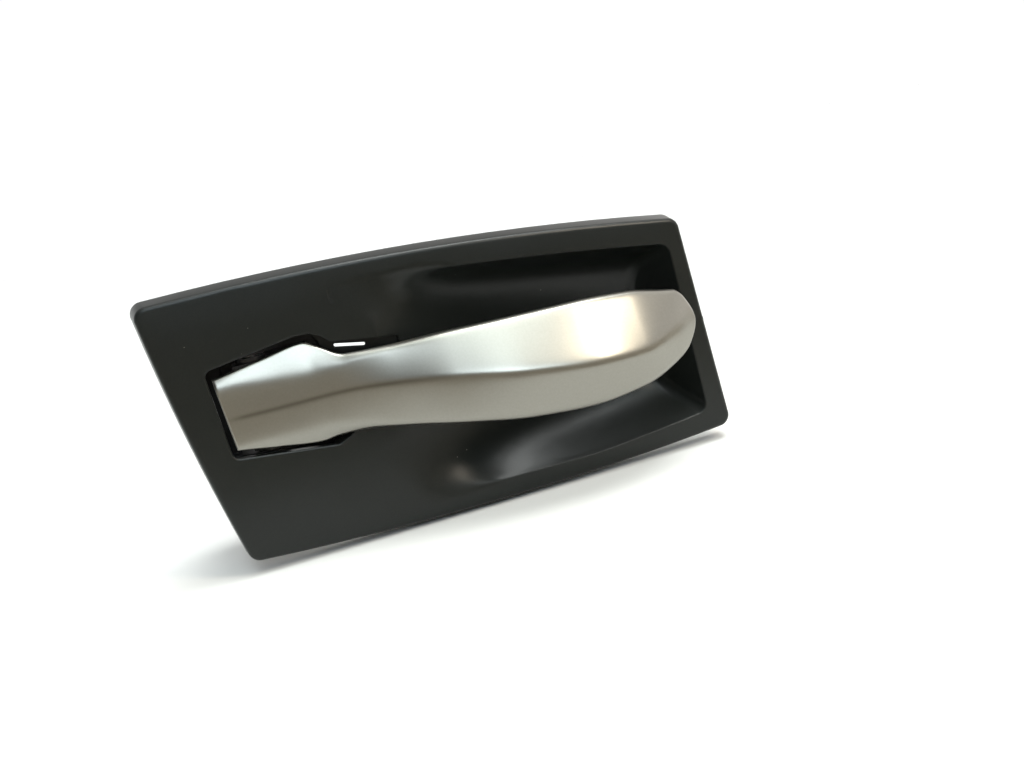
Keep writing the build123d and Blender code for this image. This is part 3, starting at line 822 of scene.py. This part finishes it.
# Hinge pin. A turned steel pin with a flat head, slid from above through the carrier's ears and
# the lever's bushes, with a groove for the clip at its lower end.
# Ground steel: bright, with fine rings round the pin's axis.
ground, tree = new_material("ground_steel")
place = add_node(tree, "ShaderNodeTexCoord")
turn = add_node(
    tree, "ShaderNodeMapping", Vector=place.outputs["Object"], Scale=(0.05, 0.05, 1.0)
)
rings = add_node(
    tree, "ShaderNodeTexNoise", Vector=turn.outputs["Vector"], Scale=1 / (0.12 * mm), Detail=2.0
)
colour = mixed(tree, rings.outputs["Fac"], srgb("A5A5A8"), srgb("C4C4C6"))
rough = mapped(tree, rings.outputs["Fac"], low=0.16, high=0.34)
edge = rounded(tree, 0.2 * mm)
bump = add_node(
    tree,
    "ShaderNodeBump",
    Strength=0.15,
    Distance=0.01 * mm,
    Height=rings.outputs["Fac"],
    Normal=edge,
)
set_surface(tree, Base_Color=colour, Metallic=1.0, Roughness=rough, Normal=bump.outputs["Normal"])

pin = smoothed("hinge_pin", angle=30)
pin.data.materials.append(ground)
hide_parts("hinge_pin")
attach(pin, "housing")

# Pin clip. A stamped ring of spring steel, pushed sideways into the pin's groove, that keeps the
# pin in the carrier's ears.
# Phosphated steel: dark grey and crystalline, nearly matt.
phosphate, tree = new_material("phosphated_spring_steel")
place = add_node(tree, "ShaderNodeTexCoord")
crystal = add_node(
    tree, "ShaderNodeTexVoronoi", Vector=place.outputs["Object"], Scale=1 / (0.1 * mm)
)
fleck = add_node(tree, "ShaderNodeSeparateColor", Color=crystal.outputs["Color"])
colour = mixed(tree, fleck.outputs["Red"], srgb("3A3A3B"), srgb("57575A"))
rough = mapped(tree, fleck.outputs["Green"], low=0.45, high=0.65)
edge = rounded(tree, 0.12 * mm)
set_surface(tree, Base_Color=colour, Metallic=1.0, Roughness=rough, Normal=edge)

clip = smoothed("pin_clip", angle=30)
clip.data.materials.append(phosphate)
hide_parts("pin_clip")
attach(clip, "housing")

# Carrier screws. Four cold-formed self-tapping screws with hexagon sockets, driven through the
# carrier into the bosses on the bezel's back.
screw_tip = -4.6
screw_seat = 3.0
screw_top = 5.0
thread_r = 1.2
thread_root = 0.92
thread_pitch = 0.8
point_length = 1.4
head_r = 2.8
head_chamfer = 0.67
head_round = 0.15
crown_drop, crown_out, crown_in = 0.2, 0.25, 0.1
socket_r = 1.2
socket_depth = 1.0
socket_lead, socket_flare = 0.1, 1.08
ridge_steepness = 3.0
blunt = 0.12
sides = 36
shank_steps = 96


def thread(y, part):
    """Radius of the thread at a height and at a part of a turn."""
    phase = (y / thread_pitch - part) % 1.0
    ridge = max(0.0, 1 - ridge_steepness * abs(phase - 0.5))
    point = min(1.0, blunt + (y - screw_tip) / point_length)
    return (thread_root + (thread_r - thread_root) * ridge) * point


def hexagon(part):
    """Radius of the socket's hexagon at a part of a turn."""
    from_flat = (part * 6) % 1.0 * math.pi / 3 - math.pi / 6
    return socket_r * math.cos(math.pi / 6) / math.cos(from_flat)


rings = []
for step in range(shank_steps + 1):
    y = screw_tip + (screw_seat - screw_tip) * step / shank_steps
    rings.append([(y, thread(y, k / sides)) for k in range(sides)])
for y, radius in (
    (screw_seat, head_r - head_round),
    (screw_seat + head_round, head_r),
    (screw_top - head_chamfer, head_r),
    (screw_top - crown_drop, head_r - head_chamfer + crown_out),
    (screw_top, head_r - head_chamfer - crown_in),
):
    rings.append([(y, radius)] * sides)
for y, scale in (
    (screw_top, socket_flare),
    (screw_top - socket_lead, 1.0),
    (screw_top - socket_depth, 1.0),
):
    rings.append([(y, scale * hexagon(k / sides)) for k in range(sides)])
work = bmesh.new()
loops = []
for ring in rings:
    turns = [2 * math.pi * k / sides for k in range(sides)]
    loops.append(
        [
            work.verts.new((r * math.sin(turn) * mm, y * mm, r * math.cos(turn) * mm))
            for turn, (y, r) in zip(turns, ring)
        ]
    )
for lower, upper in zip(loops, loops[1:]):
    for k in range(sides):
        following = (k + 1) % sides
        work.faces.new((lower[k], lower[following], upper[following], upper[k]))
work.faces.new(loops[0])
work.faces.new(loops[-1])
bmesh.ops.recalc_face_normals(work, faces=work.faces)
shade(work, angle=38)
screw_mesh = bpy.data.meshes.new("screw")
work.to_mesh(screw_mesh)
work.free()
screw = bpy.data.objects.new("screw", screw_mesh)
bpy.context.collection.objects.link(screw)

# Zinc plate: pale, faintly blue and cloudy, with a soft shine.
zinc, tree = new_material("zinc_plated_steel")
place = add_node(tree, "ShaderNodeTexCoord")
cloud = add_node(
    tree, "ShaderNodeTexNoise", Vector=place.outputs["Object"], Scale=1 / (0.9 * mm), Detail=4.0
)
colour = mixed(tree, cloud.outputs["Fac"], srgb("9C9E9E"), srgb("C6C4B8"))
rough = mapped(tree, cloud.outputs["Fac"], low=0.24, high=0.42)
set_surface(tree, Base_Color=colour, Metallic=1.0, Roughness=rough)

turn_seed = 4
screw_places = [(-15.5, 20.5), (-10.5, -20.5), (13.5, 20.5), (13.5, -20.5)]
places_mesh = bpy.data.meshes.new("screw_places")
places_mesh.from_pydata([(x * mm, 0.0, z * mm) for x, z in screw_places], [], [])
places = bpy.data.objects.new("screw_places", places_mesh)
bpy.context.collection.objects.link(places)

tree = bpy.data.node_groups.new("screws_at_points", "GeometryNodeTree")
sockets = {}
for name, kind in (
    ("Places", "Geometry"),
    ("Screw", "Object"),
    ("Seed", "Int"),
    ("Finish", "Material"),
):
    sockets[name] = tree.interface.new_socket(name, in_out="INPUT", socket_type="NodeSocket" + kind)
tree.interface.new_socket("Screws", in_out="OUTPUT", socket_type="NodeSocketGeometry")
given = add_node(tree, "NodeGroupInput")
one = add_node(tree, "GeometryNodeObjectInfo", Object=given.outputs["Screw"], As_Instance=True)
turn = add_node(tree, "FunctionNodeRandomValue", {"data_type": "FLOAT"}, Seed=given.outputs["Seed"])
turn.inputs[3].default_value = 2 * math.pi
spun = add_node(tree, "ShaderNodeCombineXYZ", Y=turn.outputs[1])
set_in = add_node(
    tree,
    "GeometryNodeInstanceOnPoints",
    Points=given.outputs["Places"],
    Instance=one.outputs["Geometry"],
    Rotation=spun.outputs["Vector"],
)
whole = add_node(tree, "GeometryNodeRealizeInstances", Geometry=set_in.outputs["Instances"])
finished = add_node(
    tree,
    "GeometryNodeSetMaterial",
    Geometry=whole.outputs["Geometry"],
    Material=given.outputs["Finish"],
)
add_node(tree, "NodeGroupOutput", Screws=finished.outputs["Geometry"])

screws = grown("threaded_screws", places, tree, sockets, Screw=screw, Seed=turn_seed, Finish=zinc)
bpy.data.objects.remove(screw)
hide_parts("carrier_screws")
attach(screws, "housing")
